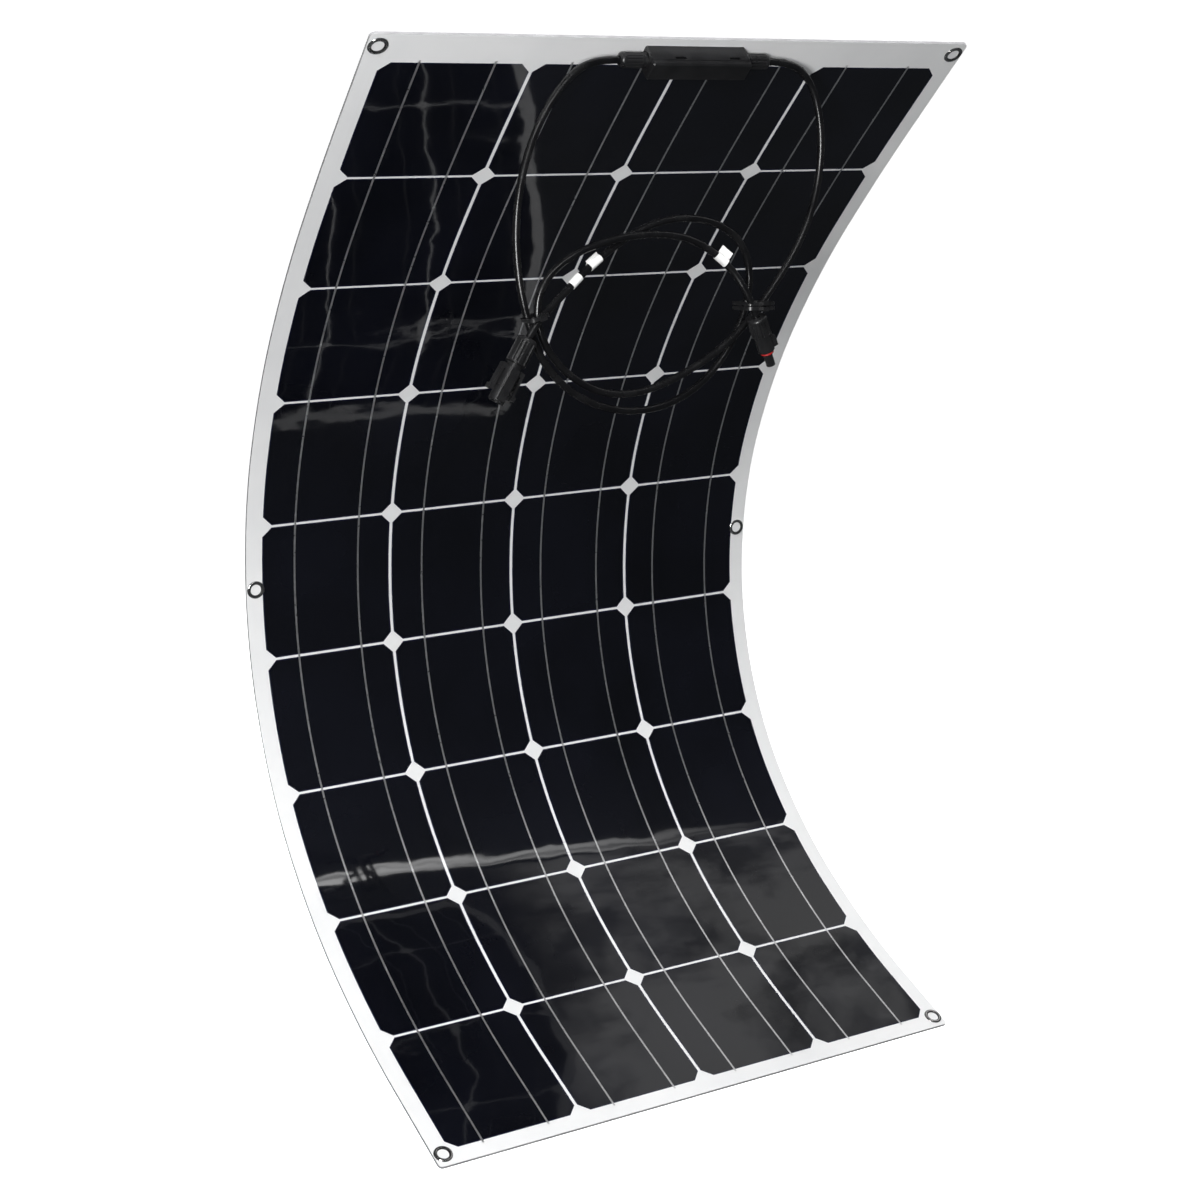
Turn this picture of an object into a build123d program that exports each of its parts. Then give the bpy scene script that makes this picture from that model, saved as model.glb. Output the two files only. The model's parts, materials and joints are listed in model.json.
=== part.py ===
"""Flexible solar sheet: nine hinged laminate rows, eyelets, junction box, two leads with plugs.

Millimetres, +Z up, X along the bend lines, origin at the middle of the sheet's top edge.
Positions on the sheet are given as u (across, from its middle), s (down, from the top of the
first cell row) and h (out of its front face, from mid-thickness).
"""
import os
from math import cos, radians, sin, tan

from build123d import *

os.makedirs("parts", exist_ok=True)

# ---- driving dimensions: the sheet ----
CELL = 125.0               # square cell side
CELL_CHAMFER = 8.65        # cut corner of a cell, along each side
COLUMN_GAP = 2.8           # between cells in a row
ROW_GAP = 2.2              # between rows of cells
SIDE_MARGIN = 15.3         # sheet edge to cell
TOP_MARGIN = 28.5
BOTTOM_MARGIN = 15.0
ROWS = 9
COLUMNS = 4
THICKNESS = 2.5            # whole laminate
CORNER_R = 4.0             # sheet corners
SEAM = 1.6                 # free gap between one row plate and the next
SKEW = 2.175               # angle between the cell rows and the bend lines
TILTS = [-50.0, -47.0, -38.7, -26.0, -6.6, 15.0, 36.7, 53.2, 64.0]   # lean of each row
BOARD_TOP = 0.25           # top of the backing board
CELL_TOP = 0.55
RIBBON_TOP = 0.75
RIBBON_W = 1.6
RIBBON_END = 2.5           # ribbon past the end cells

# ---- driving dimensions: eyelets ----
EYELET_HOLE_R = 5.0
EYELET_BARREL_R = 5.8
EYELET_FLANGE_R = 8.2
EYELET_FLANGE_T = 0.8
EYELET_SIDE = 8.8          # eyelet centre to side edge
EYELET_END = 12.1          # eyelet centre to top or bottom edge
EYELET_MIDDLE_UP = 3.9     # middle eyelets above the middle row's centre line

# ---- driving dimensions: junction box ----
BOX_L = 90.3
BOX_W = 17.7
BOX_TOP = 20.5             # top of the lid above mid-thickness
BOX_U = 6.45               # box centre
BOX_S = -12.25
BOX_WALL = 1.6
BOX_FLOOR = 1.5
RIM_H = 15.6               # top of the base's walls
GASKET_T = 0.3
LID_GAP = 0.3
SNAP_US = (-11.9, 37.6)    # the two snap windows
SNAP_W = 9.6

# ---- driving dimensions: glands, leads, plugs ----
LEAD_D = 6.0
GLAND_H = 7.7              # gland axis above mid-thickness
GLAND_COLLAR_R = 6.1
GLAND_COLLAR_T = 3.0
GLAND_SPIGOT_R = 4.8
GLAND_LENGTH = 23.0        # box end to the gland's mouth
NUT_PLAY = 0.05            # radial running clearance of every screwed nut
LEAD_PLAY = 0.35           # lead to a nut's mouth
PLUG_NUT_R = 8.25
LEFT_NUT_L = 22.0
RIGHT_NUT_L = 17.0
PLUG_BODY_R = 7.0
ARM_OUT = 9.4              # sprung arm's middle from the left plug's axis
ARM_L = 21.0
RIGHT_BODY_L = 14.0
SOCKET_R = 3.9
SOCKET_DEPTH = 12.0
NOSE_R = 3.75
NOSE_LENGTH = 10.0
NOSE_ROOT_R = 4.3          # thicker root of the nose, which carries the ring
NOSE_ROOT_L = 4.0
TIE_W = 3.0

# Corners of the leads' centre lines between the first run, on the gland's axis, and the last.
LEFT_ROUTE = [
    (-108, 10, -34), (-131, 10, -66), (-146, 10, -104),
    (-152, 10, -146), (-149, 10, -186), (-141.5, 10, -216), (-131, 10, -244), (-110, 9.5, -268),
    (-80, 9, -284), (-45, 9.5, -290), (-10, 10.5, -284.5), (22, 12, -268), (47, 14.5, -243),
    (62, 14.4, -214), (67, 13.2, -184), (58, 11, -158), (35, 10.5, -142), (1, 11, -136),
    (-33, 12, -143), (-65, 12, -160), (-93, 8.5, -179), (-116, 5, -198.5), (-139, -1, -215),
]
RIGHT_ROUTE = [
    (120, 6, -29.5), (130.5, 7, -63), (131, 8, -98),
    (123.5, 8.5, -133), (108, 9, -164), (88.5, 9, -190), (67.5, 8.2, -214), (46, 6.5, -233),
    (19, 6, -250.5), (-12, 6, -265), (-44, 7, -275), (-76, 8, -274), (-103.5, 9.5, -260.5),
    (-124, 10.3, -240), (-134, 10.5, -215), (-131, 9.5, -190), (-112, 7.5, -170),
    (-84, 5.5, -157.5), (-53, 4.5, -151), (-20, 4.5, -149.5), (11, 4.5, -156), (38, -1, -176),
    (53, -7.8, -202.2),
]
LEFT_PLUG_AXIS = Vector(-0.52, 0.0, -0.854).normalized()
RIGHT_PLUG_AXIS = Vector(0.452, 0.170, -0.876).normalized()
FIRST_RUN = 23.0
LEFT_LAST_RUN = 15.5
RIGHT_LAST_RUN = 16.0

# ---- sizes that follow ----
COLUMN_PITCH = CELL + COLUMN_GAP
ROW_PITCH = CELL + ROW_GAP
SHEET_W = COLUMNS * COLUMN_PITCH - COLUMN_GAP + 2 * SIDE_MARGIN
SHEET_TOP = -TOP_MARGIN
SHEET_BOTTOM = ROWS * ROW_PITCH - ROW_GAP + BOTTOM_MARGIN
FRONT = THICKNESS / 2
LEAD_R = LEAD_D / 2
SEAMS = [(k + 1) * ROW_PITCH - ROW_GAP / 2 for k in range(ROWS - 1)]
TOPS = [SHEET_TOP] + SEAMS
BOTTOMS = SEAMS + [SHEET_BOTTOM]


def save(node, *solids):
    """Write one node, a group of separate solids."""
    group = solids[0] if len(solids) == 1 else Compound(children=list(solids))
    export_step(group, f"parts/{node}.step")


def directions(row):
    """Across, down and out directions of a row plate."""
    tilt = radians(TILTS[row])
    skew = radians(SKEW)
    down_slope = Vector(0, -sin(tilt), -cos(tilt))
    bend_line = Vector(1, 0, 0)
    across = bend_line * cos(skew) - down_slope * sin(skew)
    down = bend_line * sin(skew) + down_slope * cos(skew)
    return across, down, Vector(0, -cos(tilt), sin(tilt))


def seam_points():
    """Where the middle of each plate's top edge lies, from the top edge down."""
    points = [Vector(0, 0, 0)]
    for row in range(ROWS - 1):
        points.append(points[-1] + directions(row)[1] * (BOTTOMS[row] - TOPS[row]))
    return points


SEAM_POINTS = seam_points()


def on_sheet(row, u, s, h):
    """A point of the sheet in the shared frame."""
    across, down, out = directions(row)
    return SEAM_POINTS[row] + across * u + down * (s - TOPS[row]) + out * h


def plate_plane(row, u=0.0, s=None, h=0.0):
    """Plane on a row: x across, y up the sheet, z out of its front."""
    across, _, out = directions(row)
    return Plane(on_sheet(row, u, TOPS[row] if s is None else s, h), x_dir=across, z_dir=out)


def block(u0, u1, s0, s1, h0, h1, row):
    """Flat-built block between limits on the sheet, for a row whose top is its local origin."""
    top = TOPS[row]
    centre = ((u0 + u1) / 2, top - (s0 + s1) / 2, (h0 + h1) / 2)
    return Pos(*centre) * Box(u1 - u0, s1 - s0, h1 - h0)


def corner_edges(solid, row):
    """Vertical edges at the outer corners of the sheet that this row has."""
    upright = solid.edges().filter_by(Axis.Z).sort_by(Axis.Y)
    chosen = []
    if row == 0:
        chosen += upright[-2:]
    if row == ROWS - 1:
        chosen += upright[:2]
    return chosen


def cell(u, s, row):
    """One cell with cut corners, centred on u, s."""
    half = CELL / 2
    cut = half - CELL_CHAMFER
    outline = Polyline((-half, -cut), (-cut, -half), (cut, -half), (half, -cut),
                       (half, cut), (cut, half), (-cut, half), (-half, cut), close=True)
    body = extrude(make_face(outline), CELL_TOP - BOARD_TOP)
    return Pos(u, TOPS[row] - s, BOARD_TOP) * body


def eyelet_places(row):
    """u, s of the eyelets on a row."""
    u = SHEET_W / 2 - EYELET_SIDE
    middle = ROWS // 2 * ROW_PITCH + CELL / 2 - EYELET_MIDDLE_UP
    levels = {0: SHEET_TOP + EYELET_END, ROWS // 2: middle, ROWS - 1: SHEET_BOTTOM - EYELET_END}
    return [(-u, levels[row]), (u, levels[row])] if row in levels else []


def laminate_row(row):
    """Board, cells, ribbons and front film of one row."""
    s0 = TOPS[row] + (SEAM / 2 if row else 0)
    s1 = BOTTOMS[row] - (SEAM / 2 if row < ROWS - 1 else 0)
    half_w = SHEET_W / 2
    cell_s = row * ROW_PITCH + CELL / 2
    cell_us = [(c - (COLUMNS - 1) / 2) * COLUMN_PITCH for c in range(COLUMNS)]
    cells = [cell(u, cell_s, row) for u in cell_us]
    r0 = max(s0, cell_s - CELL / 2 - RIBBON_END)
    r1 = min(s1, cell_s + CELL / 2 + RIBBON_END)
    ribbons = []
    for u in cell_us:
        for side in (-CELL / 4, CELL / 4):
            edge = u + side - RIBBON_W / 2
            ribbons.append(block(edge, edge + RIBBON_W, r0, r1, CELL_TOP, RIBBON_TOP, row))
    board = block(-half_w, half_w, s0, s1, -FRONT, BOARD_TOP, row)
    film = block(-half_w, half_w, s0, s1, BOARD_TOP, FRONT, row)
    if corner_edges(board, row):
        board = fillet(corner_edges(board, row), CORNER_R)
        film = fillet(corner_edges(film, row), CORNER_R)
    for piece in cells + ribbons:
        film -= piece
    for u, s in eyelet_places(row):
        hole = Pos(u, TOPS[row] - s, 0) * Cylinder(EYELET_BARREL_R, 3 * THICKNESS)
        board -= hole
        film -= hole
    return board, cells, ribbons, film


def turned(profile):
    """Solid of revolution about Z from (radius, height) corners."""
    face = Plane.XZ * make_face(Polyline(*profile, close=True))
    return revolve(face, Axis.Z)


def eyelet():
    """Metal ring through the laminate, flanged on both faces."""
    top = FRONT + EYELET_FLANGE_T
    return turned([(EYELET_HOLE_R, -top), (EYELET_FLANGE_R - 0.5, -top), (EYELET_FLANGE_R, -FRONT),
                   (EYELET_BARREL_R, -FRONT), (EYELET_BARREL_R, FRONT), (EYELET_FLANGE_R, FRONT),
                   (EYELET_FLANGE_R - 0.5, top), (EYELET_HOLE_R, top)])


def placed(solid, plane):
    """Move a solid built at the origin onto a plane."""
    return plane.location * solid


for row in range(ROWS):
    plane = plate_plane(row)
    board, cells, ribbons, film = laminate_row(row)
    save(f"board_{row + 1}", placed(board, plane))
    save(f"cells_{row + 1}", *[placed(c, plane) for c in cells])
    save(f"ribbons_{row + 1}", *[placed(r, plane) for r in ribbons])
    save(f"film_{row + 1}", placed(film, plane))

for row, name in ((0, "top"), (ROWS // 2, "middle"), (ROWS - 1, "bottom")):
    save(f"eyelets_{name}", *[placed(eyelet(), plate_plane(row, u, s)) for u, s in eyelet_places(row)])


# ---- junction box, built flat with its origin under its centre at mid-thickness ----
def slab(length, width, h0, h1, x=0.0, y=0.0):
    return Pos(x, y, (h0 + h1) / 2) * Box(length, width, h1 - h0)


BOX_PLANE = plate_plane(0, BOX_U, BOX_S)
INSIDE_L = BOX_L - 2 * BOX_WALL
INSIDE_W = BOX_W - 2 * BOX_WALL
LID_BOTTOM = RIM_H + GASKET_T + LID_GAP
LEFT_END = BOX_U - BOX_L / 2
RIGHT_END = BOX_U + BOX_L / 2


def box_base():
    base = slab(BOX_L, BOX_W, FRONT, RIM_H)
    base = chamfer(base.edges().filter_by(Axis.Z), 1.2)
    base -= slab(INSIDE_L, INSIDE_W, FRONT + BOX_FLOOR, RIM_H + 1)
    base -= Pos(0, 0, GLAND_H) * Rot(0, 90, 0) * Cylinder(LEAD_R + 0.2, BOX_L + 2)
    for u in SNAP_US:
        base -= slab(SNAP_W, 2 * BOX_WALL, RIM_H - 3.4, RIM_H - 1.0, u - BOX_U, BOX_W / 2)
    return base


def box_lid():
    lid = slab(BOX_L, BOX_W, LID_BOTTOM, BOX_TOP)
    lid = chamfer(lid.edges().filter_by(Axis.Z), 1.2)
    lid = chamfer(lid.faces().sort_by(Axis.Z)[-1].edges(), 1.2)
    lid -= slab(INSIDE_L, INSIDE_W, LID_BOTTOM - 1, BOX_TOP - BOX_WALL)
    for u in SNAP_US:
        for side in (-1, 1):
            y = side * (INSIDE_W / 2 - 1.0)
            lid += slab(SNAP_W - 1, 1.2, RIM_H - 4, BOX_TOP - BOX_WALL, u - BOX_U, y)
    return lid


gasket = slab(BOX_L - 1.0, BOX_W - 1.0, RIM_H, RIM_H + GASKET_T)
gasket = chamfer(gasket.edges().filter_by(Axis.Z), 0.9)
gasket -= slab(INSIDE_L, INSIDE_W, RIM_H - 1, RIM_H + 1)

ENTRY_END = BOX_L / 2 - 12.0
BLOCK_L = 9.0
terminals = []
diodes = []
for side in (-1, 1):
    terminals.append(slab(BLOCK_L, 7.0, FRONT + BOX_FLOOR, 10.0, side * (ENTRY_END - BLOCK_L / 2)))
terminals.append(slab(8.0, 7.0, FRONT + BOX_FLOOR, 8.0))
for side in (-1, 1):
    span = ENTRY_END - BLOCK_L - 4.0
    middle = side * (4.0 + span / 2)
    rod = Pos(middle, 0, 6.0) * Rot(0, 90, 0) * Cylinder(0.6, span)
    diodes.append(rod + Pos(middle, 0, 6.0) * Rot(0, 90, 0) * Cylinder(2.6, 9.0))

save("box_base", placed(box_base(), BOX_PLANE))
save("box_lid", placed(box_lid(), BOX_PLANE))
save("box_gasket", placed(gasket, BOX_PLANE))
save("terminals", *[placed(t, BOX_PLANE) for t in terminals])
save("diodes", *[placed(d, BOX_PLANE) for d in diodes])


# ---- ribbed nuts: built along +Z with the mouth at the top ----
def ribbed_nut(outer_r, length, bore_r, bore_depth, mouth_r, ribs, groove_r, dome):
    """Screwed nut: wide bore from the bottom, narrow mouth through the top, ribs round it."""
    core = Pos(0, 0, length / 2) * Cylinder(outer_r, length)
    core = fillet(core.edges().filter_by(GeomType.CIRCLE).sort_by(Axis.Z)[-1:], dome)
    for groove in PolarLocations(outer_r + 0.3 * groove_r, ribs):
        core -= groove * Pos(0, 0, (length - dome) / 2) * Cylinder(groove_r, length - dome - 2.0)
    core -= Pos(0, 0, bore_depth / 2) * Cylinder(bore_r, bore_depth)
    core -= Pos(0, 0, length / 2) * Cylinder(mouth_r, length + 2)
    return core


GLAND_SPIGOT_L = 10.0
SEAL_DEPTH = 6.0
GLAND_NUT_START = GLAND_COLLAR_T + 0.4
gland_body = turned([(LEAD_R + 0.2, 0), (GLAND_COLLAR_R, 0), (GLAND_COLLAR_R, GLAND_COLLAR_T),
                     (GLAND_SPIGOT_R, GLAND_COLLAR_T), (GLAND_SPIGOT_R, GLAND_COLLAR_T + GLAND_SPIGOT_L),
                     (4.0, GLAND_COLLAR_T + GLAND_SPIGOT_L),
                     (4.0, GLAND_COLLAR_T + GLAND_SPIGOT_L - SEAL_DEPTH),
                     (LEAD_R + 0.2, GLAND_COLLAR_T + GLAND_SPIGOT_L - SEAL_DEPTH)])
seal = turned([(LEAD_R - 0.05, 0), (4.05, 0), (4.05, SEAL_DEPTH), (LEAD_R - 0.05, SEAL_DEPTH)])
gland_nut = ribbed_nut(GLAND_COLLAR_R, GLAND_LENGTH - GLAND_NUT_START, GLAND_SPIGOT_R + NUT_PLAY,
                       GLAND_SPIGOT_L + 0.4, LEAD_R + LEAD_PLAY, 14, 0.85, 3.2)


def gland_plane(side):
    """Plane at a box end, z outwards along the gland axis."""
    across, _, out = directions(0)
    end = on_sheet(0, LEFT_END if side < 0 else RIGHT_END, BOX_S, GLAND_H)
    return Plane(end, x_dir=out, z_dir=across * side)


bodies, seals, stubs = [], [], []
for side, name in ((-1, "left"), (1, "right")):
    plane = gland_plane(side)
    bodies.append(placed(gland_body, plane))
    seals.append(placed(Pos(0, 0, GLAND_COLLAR_T + GLAND_SPIGOT_L - SEAL_DEPTH) * seal, plane))
    stub_l = GLAND_LENGTH + 12.0
    stubs.append(placed(Pos(0, 0, GLAND_LENGTH - stub_l / 2) * Cylinder(LEAD_R, stub_l), plane))
    save(f"gland_nut_{name}", placed(Pos(0, 0, GLAND_NUT_START) * gland_nut, plane))
save("gland_bodies", *bodies)
save("gland_seals", *seals)


# ---- leads ----
def corner_radii(points):
    """Largest even bend at each corner: the arc takes 0.45 of the shorter run beside it."""
    radii = []
    for a, b, c in zip(points, points[1:], points[2:]):
        before = Vector(*b) - Vector(*a)
        after = Vector(*c) - Vector(*b)
        turn = radians(before.get_angle(after))
        radii.append(0.45 * min(before.length, after.length) / tan(turn / 2))
    return radii


def lead(name, points):
    radii = corner_radii(points)
    path = FilletPolyline(*points, radius=radii)
    section = Plane(path @ 0, z_dir=path % 0) * Circle(LEAD_R)
    tube = sweep(section, path=path)
    print(f"{name}: length {path.length:.1f}, smallest bend radius {min(radii):.1f}")
    print("   radii", [round(r, 1) for r in radii])
    save(name, tube)
    return path


def along(point, direction, distance):
    return tuple(Vector(*point) + direction * distance)


def full_route(side, points, plug_axis, last_run):
    """Route with its first run on the gland's axis and its last on the plug's."""
    gland = gland_plane(side)
    start = [along(gland.origin, gland.z_dir, GLAND_LENGTH + run) for run in (0, FIRST_RUN)]
    return start + points + [along(points[-1], plug_axis, last_run)]


left_points = full_route(-1, LEFT_ROUTE, LEFT_PLUG_AXIS, LEFT_LAST_RUN)
right_points = full_route(1, RIGHT_ROUTE, RIGHT_PLUG_AXIS, RIGHT_LAST_RUN)
left_path = lead("lead_left", left_points)
right_path = lead("lead_right", right_points)

# ---- plugs: built along +Z from the lead's end ----
TAIL = 6.0                 # lead inside the nut before it meets the plug body
left_plane = Plane(left_points[-1], x_dir=(1, 0, 0), z_dir=LEFT_PLUG_AXIS)
right_plane = Plane(right_points[-1], x_dir=(1, 0, 0), z_dir=RIGHT_PLUG_AXIS)
for plane in (left_plane, right_plane):
    stubs.append(placed(Pos(0, 0, TAIL / 2) * Cylinder(LEAD_R, TAIL), plane))
save("lead_entries", *stubs)


def plug_nut(length):
    """Cap nut with its mouth towards the lead."""
    nut = ribbed_nut(PLUG_NUT_R, length, 5.5 + NUT_PLAY, length - TAIL + 0.4, LEAD_R + LEAD_PLAY,
                     10, 1.6, 2.5)
    return Pos(0, 0, length) * Rot(180, 0, 0) * nut


def plug_spigot(nut_length):
    start, end = TAIL, nut_length + 0.4
    return Pos(0, 0, (start + end) / 2) * Cylinder(5.5, end - start)


save("plug_nut_left", placed(plug_nut(LEFT_NUT_L), left_plane))
save("plug_nut_right", placed(plug_nut(RIGHT_NUT_L), right_plane))

# Left plug: round body with a socket and two sprung arms beside it.
shoulder = LEFT_NUT_L + 0.4
socket_end = shoulder + 32.0
left_body = plug_spigot(LEFT_NUT_L)
left_body += Pos(0, 0, shoulder + 2) * Cylinder(PLUG_BODY_R - 1.0, 4)
left_body += Pos(0, 0, shoulder + 12) * Cylinder(PLUG_BODY_R + 0.4, 16)
left_body += Pos(0, 0, shoulder + 26) * Cylinder(PLUG_BODY_R - 0.4, 12)
left_body += Pos(0, PLUG_BODY_R - 0.2, shoulder + 17.5) * Box(6.4, 2.4, 27)
for side in (-1, 1):
    root = Pos(side * (ARM_OUT - 2.0), 0, shoulder + 5) * Box(6.0, 7.0, 4.0)
    arm = Pos(side * ARM_OUT, 0, shoulder + 3 + ARM_L / 2) * Rot(0, side * 2, 0) * Box(2.2, 7.0, ARM_L)
    hook = Pos(side * (ARM_OUT + 1.3), 0, shoulder + 3 + ARM_L) * Box(3.6, 7.0, 4.0)
    left_body += root + arm + hook
left_body -= Pos(0, 0, socket_end - SOCKET_DEPTH / 2) * Cylinder(SOCKET_R, SOCKET_DEPTH)
left_body -= Pos(0, 0, socket_end - SOCKET_DEPTH - 4) * Cylinder(1.6, 9)
left_contact = Pos(0, 0, socket_end - SOCKET_DEPTH - 4.25) * Cylinder(1.6, 8.5)
save("plug_body_left", placed(left_body, left_plane))
save("plug_contact_left", placed(left_contact, left_plane))

# Right plug: round body with a side wing, a sealed nose and its contact.
front = RIGHT_NUT_L + 0.4 + RIGHT_BODY_L
nose_end = front + NOSE_ROOT_L + NOSE_LENGTH
right_body = plug_spigot(RIGHT_NUT_L)
right_body += Pos(0, 0, front - RIGHT_BODY_L / 2) * Cylinder(PLUG_BODY_R, RIGHT_BODY_L)
right_body += Pos(7.6, 0, front - 6) * Box(4.0, 9.0, 9.0)
right_body += Pos(0, 0, front + NOSE_ROOT_L / 2) * Cylinder(NOSE_ROOT_R, NOSE_ROOT_L)
right_body += Pos(0, 0, nose_end - NOSE_LENGTH / 2) * Cylinder(NOSE_R, NOSE_LENGTH)
right_body -= Pos(0, 0, nose_end - 6) * Cylinder(2.2, 12.2)
right_contact = Pos(0, 0, nose_end - 8) * Cylinder(2.2, 8.0)
right_contact -= Pos(0, 0, nose_end - 6.5) * Cylinder(1.3, 8.0)
ring = Pos(0, 0, front + NOSE_ROOT_L / 2) * Torus(NOSE_ROOT_R + 0.5, 0.8)
save("plug_body_right", placed(right_body, right_plane))
save("plug_contact_right", placed(right_contact, right_plane))
save("plug_ring_right", placed(ring, right_plane))


# ---- ties and labels on the leads ----
def tie(centre, direction, inner_x, inner_y, turn):
    """Strap round a bundle: a rounded band with its lock head."""
    plane = Plane(centre, x_dir=Vector(0, 1, 0), z_dir=direction)
    outer = extrude(RectangleRounded(inner_y + 2.2, inner_x + 2.2, 5.0), TIE_W)
    inner = extrude(RectangleRounded(inner_y, inner_x, 4.0), TIE_W)
    head = Pos(-inner_y / 2 - 2.4, 1.0, TIE_W / 2) * Box(3.4, 5.4, TIE_W + 1.6)
    band = Rot(0, 0, turn) * Pos(0, 0, -TIE_W / 2) * (outer - inner + head)
    return placed(band, plane)


ties = [tie((-138.0, 4.8, -212.6), Vector(0.3, 0.0, -0.95), 15.6, 18.6, 0)]
for level in (-205.6, -209.4):
    ties.append(tie((64.0, 4.6, level), Vector(0, 0, -1), 25.0, 25.6, 0))
save("cable_ties", *ties)


def label(path, fraction, length, flag, side):
    """Paper sleeve round a lead, with a flat flag standing off one side."""
    here, way = path @ fraction, path % fraction
    plane = Plane(here, x_dir=Vector(0, -1, 0) - way * way.dot(Vector(0, -1, 0)), z_dir=way)
    sleeve = Cylinder(LEAD_R + 0.6, length) - Cylinder(LEAD_R + 0.1, length)
    if flag:
        sleeve += Pos(0, side * (LEAD_R + 0.3 + flag / 2), 0) * Box(0.7, flag, length)
    return placed(sleeve, plane)


labels = [
    label(left_path, 0.892, 12.5, 2.4, 1),
    label(left_path, 0.921, 11.0, 0.0, 1),
    label(right_path, 0.925, 11.0, 6.5, -1),
]
save("lead_labels", *labels)
print("sheet flat size", round(SHEET_W, 1), "x", round(SHEET_BOTTOM - SHEET_TOP, 1))
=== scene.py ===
import json
from math import cos, pi, radians, sin

import bpy
from mathutils import Matrix, Vector


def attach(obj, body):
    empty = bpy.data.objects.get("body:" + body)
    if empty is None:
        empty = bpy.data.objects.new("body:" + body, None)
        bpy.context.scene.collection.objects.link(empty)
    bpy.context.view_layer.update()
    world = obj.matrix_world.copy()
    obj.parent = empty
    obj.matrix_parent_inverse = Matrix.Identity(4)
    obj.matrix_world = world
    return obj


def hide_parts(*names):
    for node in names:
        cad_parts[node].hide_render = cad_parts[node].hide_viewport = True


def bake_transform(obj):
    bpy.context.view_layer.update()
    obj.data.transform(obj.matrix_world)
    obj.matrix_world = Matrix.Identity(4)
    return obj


# Flexible solar sheet: bent laminate with its cells and ribbons, eyelets and leads, around the
# CAD parts of the box, glands, plugs, ties and labels.
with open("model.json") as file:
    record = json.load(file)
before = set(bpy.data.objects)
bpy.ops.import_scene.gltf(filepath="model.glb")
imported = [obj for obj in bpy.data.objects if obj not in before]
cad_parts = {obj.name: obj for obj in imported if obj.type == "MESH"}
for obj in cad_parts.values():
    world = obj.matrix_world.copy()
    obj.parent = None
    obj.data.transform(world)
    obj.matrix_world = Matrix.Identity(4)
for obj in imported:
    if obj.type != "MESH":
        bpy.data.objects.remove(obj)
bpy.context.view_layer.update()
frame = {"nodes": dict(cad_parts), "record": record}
MM = 0.001

# ---------------------------------------------------------------- sheet, as in the CAD (mm)
# On the sheet, u runs across from its middle, s down from the top of the first cell row,
# and h out of its front face from mid-thickness.
CELL, CHAMFER, COLUMN_GAP, ROW_GAP = 125.0, 8.65, 2.8, 2.2
SIDE_MARGIN, TOP_MARGIN, BOTTOM_MARGIN, CORNER_R = 15.3, 28.5, 15.0, 4.0
ROWS, COLUMNS, HALF_T = 9, 4, 1.25
SKEW = radians(2.175)           # between the cell rows and the bend lines
TILTS = [radians(t) for t in (-50.0, -47.0, -38.7, -26.0, -6.6, 15.0, 36.7, 53.2, 64.0)]
CELL_LIFT = 0.06                # cells above the white front
CELL_RIM = (0.488, 0.499)       # where a cell's rim starts and ends, as a share of its side
RIBBON_PROFILE = [(-0.9, 0.05), (-0.55, 0.16), (0.55, 0.16), (0.9, 0.05)]   # across, height
RIBBON_END = 2.5                # ribbon past the end cells
EYELET_HOLE_R, EYELET_BARREL_R = 5.0, 5.9
EYELET_SIDE, EYELET_END, EYELET_MIDDLE_S = 8.8, 12.1, 567.4
STRIP_STEPS = 12                # levels down one strip
SMOOTH_LIMIT = 0.7              # a face turned further from its normal than this cosine is an edge
COLUMN_PITCH, ROW_PITCH = CELL + COLUMN_GAP, CELL + ROW_GAP
HALF_W = (COLUMNS * COLUMN_PITCH - COLUMN_GAP) / 2 + SIDE_MARGIN
TOP_S, BOTTOM_S = -TOP_MARGIN, ROWS * ROW_PITCH - ROW_GAP + BOTTOM_MARGIN
SEAM_S = [(k + 1) * ROW_PITCH - ROW_GAP / 2 for k in range(ROWS - 1)]
TOPS = [TOP_S] + SEAM_S
MIDDLES = [SEAM_S[0] - ROW_PITCH / 2 + k * ROW_PITCH for k in range(ROWS)]
COLUMN_US = [(c - (COLUMNS - 1) / 2) * COLUMN_PITCH for c in range(COLUMNS)]


def directions(row):
    """Across, down and out of one rigid row."""
    slope = Vector((0, -sin(TILTS[row]), -cos(TILTS[row])))
    across = Vector((cos(SKEW), 0, 0)) - slope * sin(SKEW)
    down = Vector((sin(SKEW), 0, 0)) + slope * cos(SKEW)
    return across, down, Vector((0, -cos(TILTS[row]), sin(TILTS[row])))


SEAM_POINTS = [Vector((0, 0, 0))]
for k in range(ROWS - 1):
    SEAM_POINTS.append(SEAM_POINTS[-1] + directions(k)[1] * (SEAM_S[k] - TOPS[k]))


def on_row(row, u, s, h=0.0):
    """Point on one rigid row, in mm."""
    across, down, out = directions(row)
    return SEAM_POINTS[row] + across * u + down * (s - TOPS[row]) + out * h


def skin(u, s, h=0.0):
    """Point and normal of the smooth sheet, in metres: flat past the end rows, bent between."""
    low, high = MIDDLES[0], MIDDLES[-1]
    if s <= low or s >= high:
        row = 0 if s <= low else ROWS - 1
        return on_row(row, u, s, h) * MM, directions(row)[2]
    k = min(int((s - low) / ROW_PITCH), ROWS - 2)
    t = (s - MIDDLES[k]) / ROW_PITCH
    a, b = on_row(k, u, MIDDLES[k]), on_row(k + 1, u, MIDDLES[k + 1])
    v = (on_row(k, u, SEAM_S[k]) + on_row(k + 1, u, SEAM_S[k])) / 2
    point = a * (1 - t) ** 2 + v * 2 * t * (1 - t) + b * t ** 2
    along = (v - a) * (1 - t) + (b - v) * t
    across = directions(k)[0] * (1 - t) + directions(k + 1)[0] * t
    normal = along.cross(across).normalized()
    return (point + normal * h) * MM, normal


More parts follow.
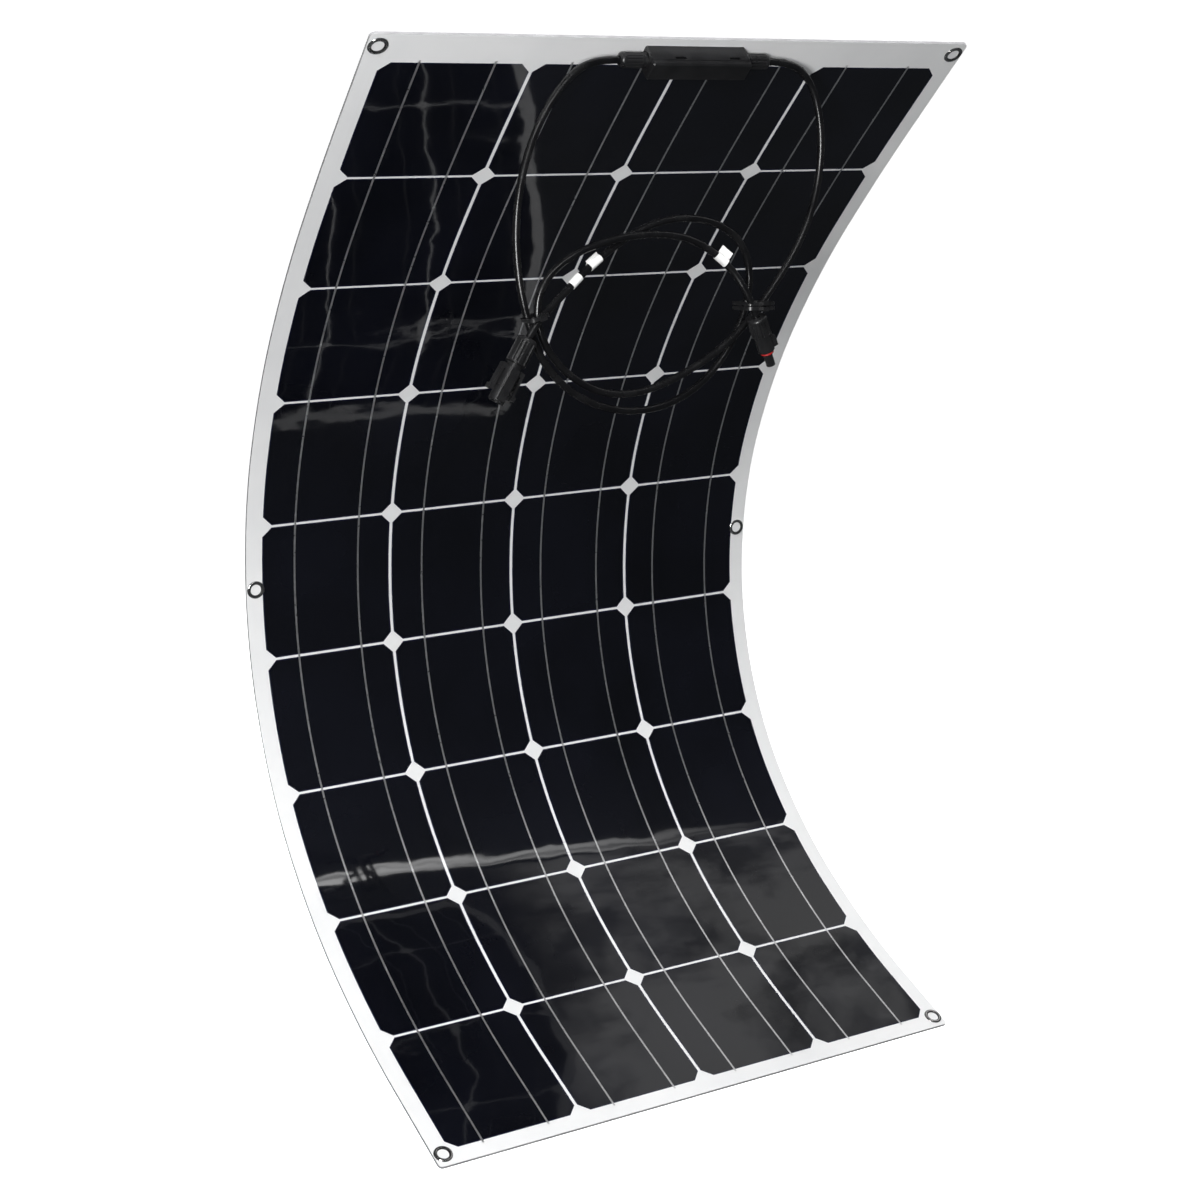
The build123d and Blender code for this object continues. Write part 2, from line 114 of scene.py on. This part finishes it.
# ---------------------------------------------------------------- materials
class Nodes:
    """Short names for building one material's node tree."""

    def __init__(self, name):
        self.material = bpy.data.materials.new(name)
        self.material.use_nodes = True
        self.tree = self.material.node_tree
        self.shader = self.tree.nodes["Principled BSDF"]

    def add(self, kind, **values):
        node = self.tree.nodes.new(kind)
        for key, value in values.items():
            setattr(node, key, value)
        return node

    def link(self, source, target):
        self.tree.links.new(source, target)

    def put(self, socket, value):
        if isinstance(value, bpy.types.NodeSocket):
            self.link(value, socket)
        else:
            socket.default_value = value

    def math(self, operation, a, b=0.0):
        node = self.add("ShaderNodeMath", operation=operation)
        self.put(node.inputs[0], a)
        self.put(node.inputs[1], b)
        return node.outputs[0]

    def noise(self, scale, detail=3.0, rough=0.5, vector=None):
        node = self.add("ShaderNodeTexNoise")
        node.inputs["Scale"].default_value = scale
        node.inputs["Detail"].default_value = detail
        node.inputs["Roughness"].default_value = rough
        self.link(vector or self.place(), node.inputs["Vector"])
        return node.outputs["Fac"]

    def place(self):
        if not hasattr(self, "coordinates"):
            self.coordinates = self.add("ShaderNodeTexCoord")
        return self.coordinates.outputs["Object"]

    def blend(self, factor, a, b):
        node = self.add("ShaderNodeMix", data_type="RGBA")
        self.put(node.inputs["Factor"], factor)
        self.put(node.inputs["A"], (*a, 1) if isinstance(a, tuple) else a)
        self.put(node.inputs["B"], (*b, 1) if isinstance(b, tuple) else b)
        return node.outputs["Result"]

    def ramp(self, factor, low, high, from_low=0.3, from_high=0.7):
        node = self.add("ShaderNodeMapRange")
        self.put(node.inputs["Value"], factor)
        for name, value in (("From Min", from_low), ("From Max", from_high),
                            ("To Min", low), ("To Max", high)):
            node.inputs[name].default_value = value
        return node.outputs["Result"]

    def bump(self, height, strength, distance, under=None):
        node = self.add("ShaderNodeBump")
        node.inputs["Strength"].default_value = strength
        node.inputs["Distance"].default_value = distance
        self.link(height, node.inputs["Height"])
        if under:
            self.link(under, node.inputs["Normal"])
        return node.outputs["Normal"]

    def set(self, **values):
        for key, value in values.items():
            self.put(self.shader.inputs[key.replace("_", " ")], value)
        return self


def plastic(name, dark, light, rough, grain, depth):
    """Moulded plastic or rubber: fine grain, faint mottling, uneven gloss."""
    n = Nodes(name)
    cloud = n.noise(60, 4)
    fine = n.noise(grain, 2)
    n.link(n.blend(n.ramp(cloud, 0, 1), dark, light), n.shader.inputs["Base Color"])
    n.link(n.ramp(cloud, rough - 0.06, rough + 0.08), n.shader.inputs["Roughness"])
    n.link(n.bump(fine, 0.35, depth), n.shader.inputs["Normal"])
    return n.material


def metal(name, dark, light, rough):
    """Plated metal: mottled tone, uneven gloss, faint dents."""
    n = Nodes(name)
    cloud = n.noise(220, 4)
    n.link(n.blend(n.ramp(cloud, 0, 1), dark, light), n.shader.inputs["Base Color"])
    n.link(n.ramp(n.noise(900, 3), rough - 0.05, rough + 0.1), n.shader.inputs["Roughness"])
    n.link(n.bump(n.noise(400, 2), 0.15, 0.0002), n.shader.inputs["Normal"])
    n.set(Metallic=1.0)
    return n.material


def film_waves(n):
    """The long shallow waves of the laminated film."""
    stretched = n.add("ShaderNodeMapping")
    stretched.inputs["Scale"].default_value = (1.0, 1.3, 2.2)
    n.link(n.place(), stretched.inputs["Vector"])
    wide = n.noise(7, 2, 0.45, stretched.outputs["Vector"])
    close = n.noise(34, 2, 0.5)
    return n.bump(close, 0.5, 0.0001, n.bump(wide, 1.0, 0.0009))


def cell_material():
    """Near-black silicon under glossy film, with a bluer rim round each cell."""
    n = Nodes("cell_silicon")
    uv = n.add("ShaderNodeUVMap", uv_map="cell")
    split = n.add("ShaderNodeSeparateXYZ")
    n.link(uv.outputs["UV"], split.inputs["Vector"])
    x = n.math("ABSOLUTE", split.outputs["X"])
    y = n.math("ABSOLUTE", split.outputs["Y"])
    side = n.math("MAXIMUM", x, y)
    corner = n.math("ADD", n.math("ADD", x, y), -(CELL - CHAMFER - CELL / 2) / CELL)
    edge = n.math("MAXIMUM", side, corner)
    rim = n.ramp(edge, 0.0, 1.0, *CELL_RIM)
    tone = n.blend(n.ramp(n.noise(9, 3), 0, 1), (0.0016, 0.0019, 0.0035), (0.0035, 0.004, 0.0075))
    n.link(n.blend(rim, tone, (0.006, 0.006, 0.03)), n.shader.inputs["Base Color"])
    n.link(n.ramp(n.noise(300, 2), 0.32, 0.42), n.shader.inputs["Roughness"])
    n.set(Specular_IOR_Level=0.1, Coat_Weight=1.0, Coat_Roughness=0.035, Coat_IOR=1.47)
    n.link(film_waves(n), n.shader.inputs["Coat Normal"])
    return n.material


def sheet_material(name, dark, light, coat):
    """White laminate: nearly even tone under a waved film of the given coat weight."""
    n = Nodes(name)
    n.link(n.blend(n.ramp(n.noise(14, 4), 0, 1), dark, light), n.shader.inputs["Base Color"])
    n.link(n.ramp(n.noise(90, 3), 0.42, 0.55), n.shader.inputs["Roughness"])
    n.link(n.bump(n.noise(700, 2), 0.1, 0.00008), n.shader.inputs["Normal"])
    n.set(Specular_IOR_Level=0.3, Coat_Weight=coat, Coat_Roughness=0.06)
    n.link(film_waves(n), n.shader.inputs["Coat Normal"])
    return n.material


def ribbon_material():
    n = Nodes("ribbon_tinned")
    n.link(n.blend(n.ramp(n.noise(120, 3), 0, 1), (0.62, 0.62, 0.63), (0.80, 0.80, 0.81)),
           n.shader.inputs["Base Color"])
    n.link(n.ramp(n.noise(260, 3), 0.26, 0.4), n.shader.inputs["Roughness"])
    n.set(Metallic=0.93, Coat_Weight=1.0, Coat_Roughness=0.05)
    n.link(film_waves(n), n.shader.inputs["Coat Normal"])
    return n.material


WHITE = sheet_material("laminate_front", (0.80, 0.805, 0.81), (0.86, 0.86, 0.86), 0.5)
BACK = sheet_material("laminate_back", (0.70, 0.71, 0.72), (0.76, 0.765, 0.77), 0.12)
EDGE = plastic("laminate_edge", (0.34, 0.34, 0.35), (0.46, 0.46, 0.47), 0.5, 500, 0.0001)
CELLS = cell_material()
RIBBONS = ribbon_material()
EYELETS = metal("eyelet_bright", (0.55, 0.54, 0.53), (0.74, 0.73, 0.72), 0.14)
# Darker, rougher metal for the eyelets' hole walls, inner lips and rim outline: painted shade in
# the holes and along the rims' outer edge.
EYELET_PAINTED_SHADE = metal("eyelet_painted_shade", (0.02, 0.02, 0.02), (0.05, 0.05, 0.05), 0.35)
BOX = plastic("box_black", (0.006, 0.006, 0.0065), (0.011, 0.011, 0.012), 0.34, 900, 0.0002)
NYLON = plastic("nylon_black", (0.007, 0.007, 0.0075), (0.014, 0.014, 0.015), 0.3, 700, 0.00015)
JACKET = plastic("jacket_black", (0.0025, 0.0025, 0.003), (0.006, 0.006, 0.0065), 0.24, 350, 0.0002)
RUBBER = plastic("rubber_black", (0.01, 0.01, 0.01), (0.02, 0.02, 0.02), 0.6, 500, 0.0003)
RED = plastic("ring_red", (0.38, 0.012, 0.014), (0.5, 0.02, 0.02), 0.4, 500, 0.0002)
PAPER = plastic("label_white", (0.74, 0.74, 0.73), (0.84, 0.84, 0.83), 0.5, 600, 0.0001)
BRASS = metal("terminal_brass", (0.55, 0.40, 0.18), (0.72, 0.55, 0.28), 0.3)
TINNED = metal("contact_tinned", (0.55, 0.55, 0.54), (0.70, 0.70, 0.69), 0.28)

CAD_FINISH = {
    "box_plastic": BOX, "gland_plastic": NYLON, "plug_plastic": NYLON, "tie_plastic": NYLON,
    "lead_jacket": JACKET, "seal_rubber": RUBBER, "ring_rubber": RED, "label_paper": PAPER,
    "brass": BRASS, "diode": RUBBER, "contact_metal": TINNED, "eyelet_metal": EYELETS,
    "backsheet": BACK, "silicon": CELLS, "ribbon": RIBBONS, "front_film": WHITE,
}
for part in frame["record"]["subparts"]:
    node = frame["nodes"][part["node"]]
    node.data.materials.clear()
    node.data.materials.append(CAD_FINISH[part["material_slot"]])


# ---------------------------------------------------------------- laminate
def steps(a, b, count):
    """The count + 1 evenly spaced values from a to b."""
    return [a + (b - a) * i / count for i in range(count + 1)]


def linked(name, data):
    obj = bpy.data.objects.new(name, data)
    bpy.context.collection.objects.link(obj)
    return obj


def make(name, corners, faces, materials, indices=None, uv_name="sheet"):
    """Mesh from corners of (point, normal, uv), smooth where the normal agrees with the face."""
    mesh = bpy.data.meshes.new(name)
    mesh.from_pydata([c[0] for c in corners], [], faces)
    for material in materials:
        mesh.materials.append(material)
    if indices:
        mesh.polygons.foreach_set("material_index", indices)
    layer = mesh.uv_layers.new(name=uv_name)
    normals = []
    mesh.update()
    for polygon in mesh.polygons:
        for loop in polygon.loop_indices:
            corner = corners[mesh.loops[loop].vertex_index]
            layer.data[loop].uv = corner[2]
            agreement = corner[1].dot(polygon.normal)
            sign = 1 if agreement > 0 else -1
            facing = abs(agreement) > SMOOTH_LIMIT
            normals.append(corner[1] * sign if facing else polygon.normal)
    mesh.polygons.foreach_set("use_smooth", [True] * len(mesh.polygons))
    mesh.normals_split_custom_set(normals)
    return linked(name, mesh)


def sheet_uv(u, s):
    return (u * MM, s * MM)


def rounded_rows(s0, s1, count):
    """Levels down a strip, with extra ones in a rounded corner of the sheet."""
    levels = steps(s0, s1, count)
    if s0 == TOP_S:
        levels = [TOP_S + CORNER_R * (1 - cos(a)) for a in steps(0, pi / 2, 5)] + levels[1:]
    if s1 == BOTTOM_S:
        levels = levels[:-1] + [BOTTOM_S - CORNER_R * (1 - cos(a)) for a in steps(pi / 2, 0, 5)]
    return levels


def half_width(s):
    """The sheet's half width at s, drawn in at the rounded corners."""
    gap = min(s - TOP_S, BOTTOM_S - s)
    if gap >= CORNER_R:
        return HALF_W
    return HALF_W - CORNER_R + (CORNER_R ** 2 - (CORNER_R - gap) ** 2) ** 0.5


def laminate(strip, s0, s1):
    """Strip of the sheet with its front, back and edges, open where it meets the next strip."""
    levels = rounded_rows(s0, s1, STRIP_STEPS)
    across = [-1.0, -0.985] + steps(-0.96, 0.96, 24) + [0.985, 1.0]    # of the half width
    corners, faces, indices = [], [], []
    width = len(across)
    for h in (HALF_T, -HALF_T):
        for s in levels:
            for f in across:
                u = f * half_width(s)
                point, normal = skin(u, s, h)
                corners.append((point, normal, sheet_uv(u, s)))
    under = len(levels) * width
    for j in range(len(levels) - 1):
        for i in range(width - 1):
            a = j * width + i
            faces.append((a, a + width, a + width + 1, a + 1))
            faces.append(tuple(under + k for k in (a, a + 1, a + width + 1, a + width)))
            indices += [0, 1]
        for a, b in ((j * width, (j + 1) * width), ((j + 2) * width - 1, (j + 1) * width - 1)):
            faces.append((a, under + a, under + b, b))
            indices.append(2)
    ends = [0] if s0 == TOP_S else [len(levels) - 1] if s1 == BOTTOM_S else []
    for j in ends:
        for i in range(width - 1):
            a = j * width + i
            quad = (a, a + 1, under + a + 1, under + a)
            faces.append(quad if j == 0 else quad[::-1])
            indices.append(2)
    return make(f"laminate_{strip}", corners, faces, [WHITE, BACK, EDGE], indices)


def cell_part(corners, faces, middle_u, row, top):
    """Half a cell, above or below its middle, with its two cut corners."""
    half = CELL / 2
    middle_s = row * ROW_PITCH + half
    sign = -1 if top else 1

    def uv(u, s):
        return ((u - middle_u) / CELL, (s - middle_s) / CELL)

    us = [-half] + steps(-half + CHAMFER, half - CHAMFER, 6) + [half]
    levels = steps(0, half - CHAMFER, 5) + [half]
    ids = {}
    for j, level in enumerate(levels):
        for i, u in enumerate(us):
            if j == len(levels) - 1 and i in (0, len(us) - 1):
                continue
            s = middle_s + sign * level
            point, normal = skin(middle_u + u, s, HALF_T + CELL_LIFT)
            ids[i, j] = len(corners)
            corners.append((point, normal, uv(middle_u + u, s)))
    for j in range(len(levels) - 1):
        for i in range(len(us) - 1):
            quad = [(i, j), (i, j + 1), (i + 1, j + 1), (i + 1, j)]
            loop = [ids[q] for q in quad if q in ids]
            faces.append(tuple(loop if not top else loop[::-1]))


def cells(strip, rows):
    corners, faces = [], []
    for row, top in rows:
        for middle_u in COLUMN_US:
            cell_part(corners, faces, middle_u, row, top)
    return make(f"cells_strip_{strip}", corners, faces, [CELLS], uv_name="cell")


def ribbons(strip, s0, s1):
    """Flat conductors over the cells, standing slightly proud under the film."""
    s0, s1 = max(s0, -RIBBON_END), min(s1, BOTTOM_S - BOTTOM_MARGIN + RIBBON_END)
    corners, faces = [], []
    levels = steps(s0, s1, STRIP_STEPS)
    width = len(RIBBON_PROFILE)
    for middle in COLUMN_US:
        for offset in (-CELL / 4, CELL / 4):
            start = len(corners)
            for s in levels:
                for du, h in RIBBON_PROFILE:
                    u = middle + offset + du
                    point, normal = skin(u, s, HALF_T + h)
                    corners.append((point, normal, sheet_uv(u, s)))
            for j in range(len(levels) - 1):
                for i in range(width - 1):
                    a = start + j * width + i
                    faces.append((a, a + width, a + width + 1, a + 1))
    return make(f"ribbons_strip_{strip}", corners, faces, [RIBBONS])


for strip in range(ROWS + 1):
    s0 = TOP_S if strip == 0 else MIDDLES[strip - 1]
    s1 = BOTTOM_S if strip == ROWS else MIDDLES[strip]
    halves = [(row, top) for row, top in ((strip - 1, False), (strip, True)) if 0 <= row < ROWS]
    pieces = [laminate(strip, s0, s1), cells(strip, halves), ribbons(strip, s0, s1)]
    row = min(strip, ROWS - 1) + 1
    if strip < ROWS:
        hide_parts(f"board_{row}", f"film_{row}")
        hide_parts(f"cells_{row}")
        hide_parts(f"ribbons_{row}")
    for piece, name in zip(pieces, ("front_film", "silicon", "ribbon")):
        if 0 < strip < ROWS:
            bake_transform(piece)
        else:
            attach(piece, f"row_{row}")


# ---------------------------------------------------------------- eyelets
def lathe(name, profile, steps_round, place, materials, painted_shade_edges):
    """Closed profile of (radius, height) in mm turned about Z.

    The profile's edges numbered in the last argument take the second material, darker metal that
    paints shade on them.
    """
    points, faces, indices = [], [], []
    count = len(profile)
    for i in range(steps_round):
        angle = 2 * pi * i / steps_round
        points += [(r * cos(angle) * MM, r * sin(angle) * MM, z * MM) for r, z in profile]
    for i in range(steps_round):
        here, there = i * count, (i + 1) % steps_round * count
        for j in range(count):
            after = (j + 1) % count
            faces.append((here + j, there + j, there + after, here + after))
            indices.append(int(j in painted_shade_edges))
    mesh = bpy.data.meshes.new(name)
    mesh.from_pydata(points, [], faces)
    mesh.polygons.foreach_set("use_smooth", [True] * len(faces))
    for material in materials:
        mesh.materials.append(material)
    mesh.polygons.foreach_set("material_index", indices)
    mesh.transform(place)
    return linked(name, mesh)


def row_matrix(row, u, s):
    """Place on a row's mid-thickness, with Z out of the front."""
    across, down, out = directions(row)
    turn = Matrix((across, -down, out)).transposed().to_4x4()
    return Matrix.Translation(on_row(row, u, s) * MM) @ turn


def eyelet_profile():
    """Rolled front rim, barrel and flatter back washer, and the edges painted dark as shade: the
    hole's wall, its lips and the rim's outer edge.
    """
    def rolled(width, base, height, angles):
        return [(EYELET_HOLE_R + width * (1 - cos(a)) / 2, base + height * sin(a)) for a in angles]

    start, end = 0.15, pi - 0.1
    front = rolled(3.2, HALF_T + 0.15, 1.0, steps(start, end, 9))
    back = rolled(3.1, -HALF_T - 0.1, -0.7, steps(end, start, 7))
    barrel = [(EYELET_BARREL_R, HALF_T), (EYELET_BARREL_R, -HALF_T)]
    profile = front + [(8.15, HALF_T)] + barrel + [(8.05, -HALF_T)] + back
    last = len(profile) - 1
    return profile, {0, 1, 2, 8, 9, last - 2, last - 1, last}


profile, painted_shade_edges = eyelet_profile()
for name, row, s in (("top", 0, TOP_S + EYELET_END), ("middle", ROWS // 2, EYELET_MIDDLE_S),
                     ("bottom", ROWS - 1, BOTTOM_S - EYELET_END)):
    for side, side_name in ((-1, "left"), (1, "right")):
        place = row_matrix(row, side * (HALF_W - EYELET_SIDE), s)
        ring = lathe(f"eyelet_{name}_{side_name}", profile, 40, place, (EYELETS, EYELET_PAINTED_SHADE), painted_shade_edges)
        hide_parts(f"eyelets_{name}")
        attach(ring, f"row_{row + 1}")

# ---------------------------------------------------------------- leads (mm)
LEFT_AXIS = Vector((-0.52, 0.0, -0.854)).normalized()
RIGHT_AXIS = Vector((0.452, 0.170, -0.876)).normalized()
LEFT_ROUTE = [
    (-108, 10, -34), (-131, 10, -66), (-146, 10, -104),
    (-152, 10, -146), (-149, 10, -186), (-141.5, 10, -216), (-131, 10, -244), (-110, 9.5, -268),
    (-80, 9, -284), (-45, 9.5, -290), (-10, 10.5, -284.5), (22, 12, -268), (47, 14.5, -243),
    (62, 14.4, -214), (67, 13.2, -184), (58, 11, -158), (35, 10.5, -142), (1, 11, -136),
    (-33, 12, -143), (-65, 12, -160), (-93, 8.5, -179), (-116, 5, -198.5), (-139, -1, -215),
]
RIGHT_ROUTE = [
    (120, 6, -29.5), (130.5, 7, -63), (131, 8, -98),
    (123.5, 8.5, -133), (108, 9, -164), (88.5, 9, -190), (67.5, 8.2, -214), (46, 6.5, -233),
    (19, 6, -250.5), (-12, 6, -265), (-44, 7, -275), (-76, 8, -274), (-103.5, 9.5, -260.5),
    (-124, 10.3, -240), (-134, 10.5, -215), (-131, 9.5, -190), (-112, 7.5, -170),
    (-84, 5.5, -157.5), (-53, 4.5, -151), (-20, 4.5, -149.5), (11, 4.5, -156), (38, -1, -176),
    (53, -7.8, -202.2),
]
LEAD_D = 6.0
BOX_U, BOX_S, BOX_L = 6.45, -12.25, 90.3        # the box's middle and length on the sheet
GLAND_H, GLAND_LENGTH, FIRST_RUN = 7.7, 23.0, 23.0


def lead(side, route, plug_axis, last_run):
    """Curve from the gland on one side (-1 left, 1 right) down its route to its plug."""
    side_name = "left" if side < 0 else "right"
    name = f"lead_run_{side_name}"
    end = on_row(0, BOX_U + side * BOX_L / 2, BOX_S, GLAND_H)
    way = directions(0)[0] * side
    points = [end + way * (GLAND_LENGTH + run) for run in (0, FIRST_RUN)]
    points += [Vector(p) for p in route] + [Vector(route[-1]) + plug_axis * last_run]
    curve = bpy.data.curves.new(name, "CURVE")
    curve.dimensions = "3D"
    curve.bevel_depth = LEAD_D / 2 * MM
    curve.bevel_resolution = 6
    curve.resolution_u = 14
    curve.use_fill_caps = True
    spline = curve.splines.new("NURBS")
    spline.points.add(len(points) - 1)
    for target, point in zip(spline.points, points):
        target.co = (*(point * MM), 1.0)
    spline.order_u = 3
    spline.use_endpoint_u = True
    curve.materials.append(JACKET)
    obj = linked(name, curve)
    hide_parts(f"lead_{side_name}")
    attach(obj, "row_1")


lead(-1, LEFT_ROUTE, LEFT_AXIS, 15.5)
lead(1, RIGHT_ROUTE, RIGHT_AXIS, 16.0)


# ---------------------------------------------------------------- studio
def emitter(name, strength):
    n = Nodes(name)
    n.set(Base_Color=(0.9, 0.9, 0.9, 1), Roughness=0.9, Emission_Color=(1, 1, 1, 1),
          Emission_Strength=strength)
    return n.material


FLOOR_Z, DOME_R = -1.0, 7.0
bpy.ops.mesh.primitive_plane_add(size=2 * DOME_R, location=(0, 0, FLOOR_Z))
floor = bpy.context.object
floor.name = "studio_floor"
floor.data.materials.append(emitter("floor_white", 1.05))
floor.visible_glossy = False
floor.visible_diffuse = False
bpy.ops.mesh.primitive_uv_sphere_add(
    radius=DOME_R, segments=48, ring_count=24, location=(0, 0, FLOOR_Z))
dome = bpy.context.object
dome.name = "studio_dome"
dome.data.materials.append(emitter("dome_white", 1.0))
dome.visible_glossy = False
dome.visible_diffuse = False
dome.visible_shadow = False

world = bpy.data.worlds.new("studio")
bpy.context.scene.world = world
world.use_nodes = True
background = world.node_tree.nodes["Background"]
background.inputs["Color"].default_value = (0.9, 0.95, 1.0, 1)
background.inputs["Strength"].default_value = 0.06


def softbox(name, place, target, width, height, watts, glossy=True):
    """Rectangular lamp at a place in metres, turned to its target."""
    data = bpy.data.lights.new(name, "AREA")
    data.shape = "RECTANGLE"
    data.size, data.size_y, data.energy = width, height, watts
    lamp = linked(name, data)
    lamp.location = place
    lamp.rotation_euler = (Vector(target) - Vector(place)).to_track_quat("-Z", "Y").to_euler()
    lamp.visible_glossy = glossy
    lamp.visible_camera = False


def reflector(name, place, width, depth, turn, strength, patch, fade_from=0.0, fade_to=0.12):
    """Level overhead panel with an uneven glow, which shows in the gloss of the lower rows.

    The glow has patches, and it fades in along the panel between fade_from and fade_to.
    """
    n = Nodes(name)
    glow = n.ramp(n.noise(patch, 6, 0.65), 0.25 * strength, strength, 0.40, 0.54)
    corner = n.add("ShaderNodeTexCoord")
    split = n.add("ShaderNodeSeparateXYZ")
    n.link(corner.outputs["UV"], split.inputs["Vector"])
    fade = n.ramp(split.outputs["X"], 0, 1, fade_from, fade_to)
    n.link(n.math("MULTIPLY", glow, fade), n.shader.inputs["Emission Strength"])
    n.set(Base_Color=(0, 0, 0, 1), Emission_Color=(1, 1, 1, 1), Specular_IOR_Level=0.0)
    bpy.ops.mesh.primitive_plane_add(size=1, location=place)
    panel = bpy.context.object
    panel.name = name
    panel.scale = (width, depth, 1)
    panel.rotation_euler.z = turn
    panel.data.materials.append(n.material)
    panel.visible_camera = False
    panel.visible_shadow = False


reflector("overhead_panel", (1.35, 0.26, 0.85), 1.2, 1.40, 0.0, 0.95, 3.6)
reflector("overhead_strip", (0.86, -0.475, 0.80), 1.05, 0.06, 0.115, 7.5, 2.0, 1.0, 0.15)
softbox("fill_left", (-1.2, -1.3, -0.25), (-0.1, 0.1, -0.25), 0.5, 0.8, 34)
softbox("top_front", (0.0, -0.95, 1.5), (0, 0.1, -0.9), 1.2, 0.6, 30, False)
softbox("strip_front", (-0.55, -1.25, 0.75), (0, 0, -0.25), 1.3, 0.10, 4.5)
softbox("back_high", (0.4, 2.2, 1.1), (0, 0.2, -0.4), 1.2, 1.0, 60, False)
softbox("back_low", (0.3, 2.1, -0.6), (0, 0.2, -0.7), 1.2, 0.5, 24, False)

# ---------------------------------------------------------------- camera
camera_data = bpy.data.cameras.new("camera")
SENSOR_MM, FOCAL_PX, IMAGE_PX = 36.0, 2094.7, 1200
camera_data.sensor_width = SENSOR_MM
camera_data.lens = SENSOR_MM * FOCAL_PX / IMAGE_PX
camera = linked("camera", camera_data)
right = Vector((0.8639, -0.5036, 0.0)).normalized()
ahead = Vector((0.4955, 0.8501, -0.1783)).normalized()
turn = Matrix((right, right.cross(ahead), -ahead)).transposed().to_4x4()
camera.matrix_world = Matrix.Translation((-0.9091, -1.4171, -0.1395)) @ turn
bpy.context.scene.camera = camera
bpy.context.scene.view_settings.view_transform = "Standard"
